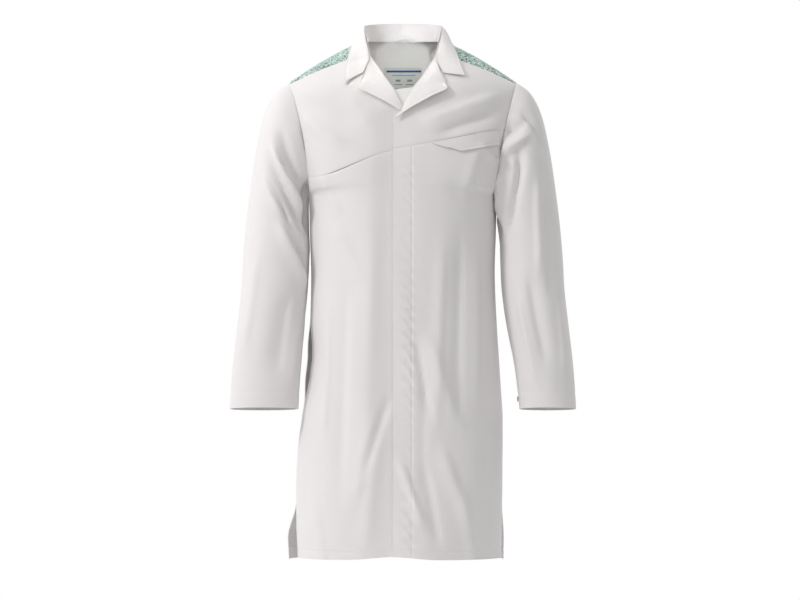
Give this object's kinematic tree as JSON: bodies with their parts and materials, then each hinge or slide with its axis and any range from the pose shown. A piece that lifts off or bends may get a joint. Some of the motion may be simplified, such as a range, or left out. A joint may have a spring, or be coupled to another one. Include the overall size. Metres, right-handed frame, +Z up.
{
  "type": "lab coat",
  "caption": "Knee-length white lab coat with a notched collar, snap front placket, printed shoulder panels, flapped chest pocket, side pockets and bendable long sleeves.",
  "frame": {"origin": "top of the middle of the hanger loop, inside the back of the neck", "axes": "+Z up along the coat, -Y out of the front, +X to the wearer's left"},
  "size_m": [0.7114, 0.28, 1.0993],
  "materials": {
    "white_cloth": "pressed white poly-cotton twill, matt",
    "print_cloth": "mint and teal mosaic print on the same twill, matt",
    "tape_cloth": "white woven tape and facing, matt",
    "pocket_cloth": "thin plain pocketing, matt",
    "snap_metal": "bright pressed metal",
    "dark_snap": "dark satin cap"
  },
  "bodies": {
    "coat_body": {"back_panel": "white_cloth", "back_yoke": "white_cloth", "chest_pocket_bag": "pocket_cloth", "collar_leaf": "white_cloth", "collar_stand": "white_cloth", "hanger_loop": "tape_cloth", "left_front_side": "white_cloth", "left_front_yoke": "white_cloth", "left_lapel": "white_cloth", "left_pocket_panel": "white_cloth", "left_shoulder_panel": "print_cloth", "left_side_pocket": "pocket_cloth", "left_sleeve_head": "white_cloth", "neck_facing": "tape_cloth", "placket_top": "white_cloth", "right_front_side": "white_cloth", "right_front_yoke": "white_cloth", "right_lapel": "white_cloth", "right_shoulder_panel": "print_cloth", "right_side_pocket": "pocket_cloth", "right_sleeve_head": "white_cloth", "stud_post_1": "snap_metal", "stud_socket_1": "snap_metal"},
    "front_left": {"left_front": "white_cloth", "placket": "white_cloth", "stud_strip": "tape_cloth", "stud_socket_2": "snap_metal", "stud_socket_3": "snap_metal", "stud_socket_4": "snap_metal", "stud_socket_5": "snap_metal"},
    "front_right": {"right_front": "white_cloth", "stud_post_2": "snap_metal", "stud_post_3": "snap_metal", "stud_post_4": "snap_metal", "stud_post_5": "snap_metal"},
    "flap": {"chest_pocket_flap": "white_cloth"},
    "sleeve_left": {"left_upper_sleeve": "white_cloth", "left_elbow": "white_cloth"},
    "cuff_left": {"left_forearm": "white_cloth", "left_cuff": "white_cloth", "left_cuff_stud": "dark_snap"},
    "sleeve_right": {"right_upper_sleeve": "white_cloth", "right_elbow": "white_cloth"},
    "cuff_right": {"right_forearm": "white_cloth", "right_cuff": "white_cloth", "right_cuff_stud": "dark_snap"}
  },
  "joints": [
    {"name": "left_sleeve_lift", "type": "hinge", "parent": "coat_body", "child": "sleeve_left", "pos_m": [0.198, -0.0701, -0.305], "axis": [0, -1, 0], "range_deg": [0, 40], "deforming": ["left_sleeve_head"]},
    {"name": "left_elbow_bend", "type": "hinge", "parent": "sleeve_left", "child": "cuff_left", "pos_m": [0.268, -0.0621, -0.525], "axis": [-1, 0, 0], "range_deg": [0, 60], "deforming": ["left_elbow"]},
    {"name": "right_sleeve_lift", "type": "hinge", "parent": "coat_body", "child": "sleeve_right", "pos_m": [-0.198, -0.0701, -0.305], "axis": [0, 1, 0], "range_deg": [0, 40], "deforming": ["right_sleeve_head"]},
    {"name": "right_elbow_bend", "type": "hinge", "parent": "sleeve_right", "child": "cuff_right", "pos_m": [-0.268, -0.0621, -0.525], "axis": [-1, 0, 0], "range_deg": [0, 60], "deforming": ["right_elbow"]},
    {"name": "left_front_open", "type": "hinge", "parent": "coat_body", "child": "front_left", "pos_m": [0.15, -0.1722, -0.6], "axis": [0, 0, 1], "range_deg": [0, 75]},
    {"name": "right_front_open", "type": "hinge", "parent": "coat_body", "child": "front_right", "pos_m": [-0.15, -0.1722, -0.6], "axis": [0, 0, 1], "range_deg": [-52.5, 0]},
    {"name": "pocket_flap_lift", "type": "hinge", "parent": "coat_body", "child": "flap", "pos_m": [0.1243, -0.1802, -0.2138], "axis": [-0.9367, -0.3018, -0.1777], "range_deg": [0, 80], "stiffness_Nm_per_rad": 0.011}
  ],
  "couplings": [
    {"joint": "right_front_open", "follows": "left_front_open", "ratio": -0.7}
  ]
}
